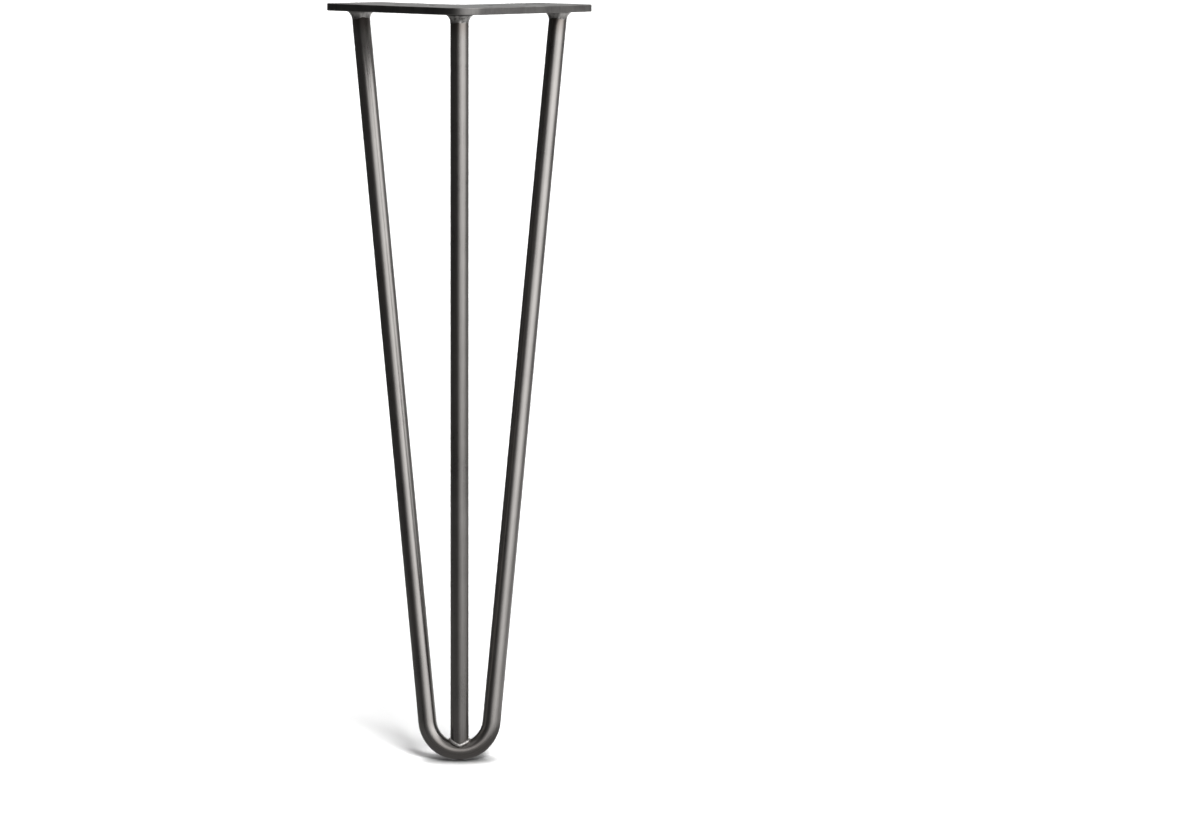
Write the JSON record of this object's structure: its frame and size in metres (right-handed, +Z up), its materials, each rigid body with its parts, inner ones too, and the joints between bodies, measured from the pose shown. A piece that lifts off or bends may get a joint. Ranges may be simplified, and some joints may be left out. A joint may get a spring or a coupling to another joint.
{
  "type": "hairpin table leg",
  "caption": "Hairpin furniture leg: L-shaped screw-on plate, a round bar bent into a narrow U and a straight centre bar that meet at the foot.",
  "frame": {"origin": "on the plate's top face, above the top of the centre bar", "axes": "+Z up, out of the plate's top face; the leg hangs below. -Y points along the plate's symmetry line to its outer corner, and the two arms run back to -X and +X"},
  "size_m": [0.1472, 0.1208, 0.41],
  "materials": {
    "plate_steel": "raw hot-rolled steel under clear lacquer, satin",
    "bar_steel": "raw drawn steel bar under clear lacquer, smooth and fairly glossy",
    "weld_metal": "mottled weld bead under clear lacquer"
  },
  "bodies": {
    "root": {"mounting_plate": "plate_steel", "hairpin_rod": "bar_steel", "centre_rod": "bar_steel", "plate_weld_left": "weld_metal", "plate_weld_right": "weld_metal", "plate_weld_centre": "weld_metal", "foot_weld": "weld_metal"}
  },
  "joints": []
}
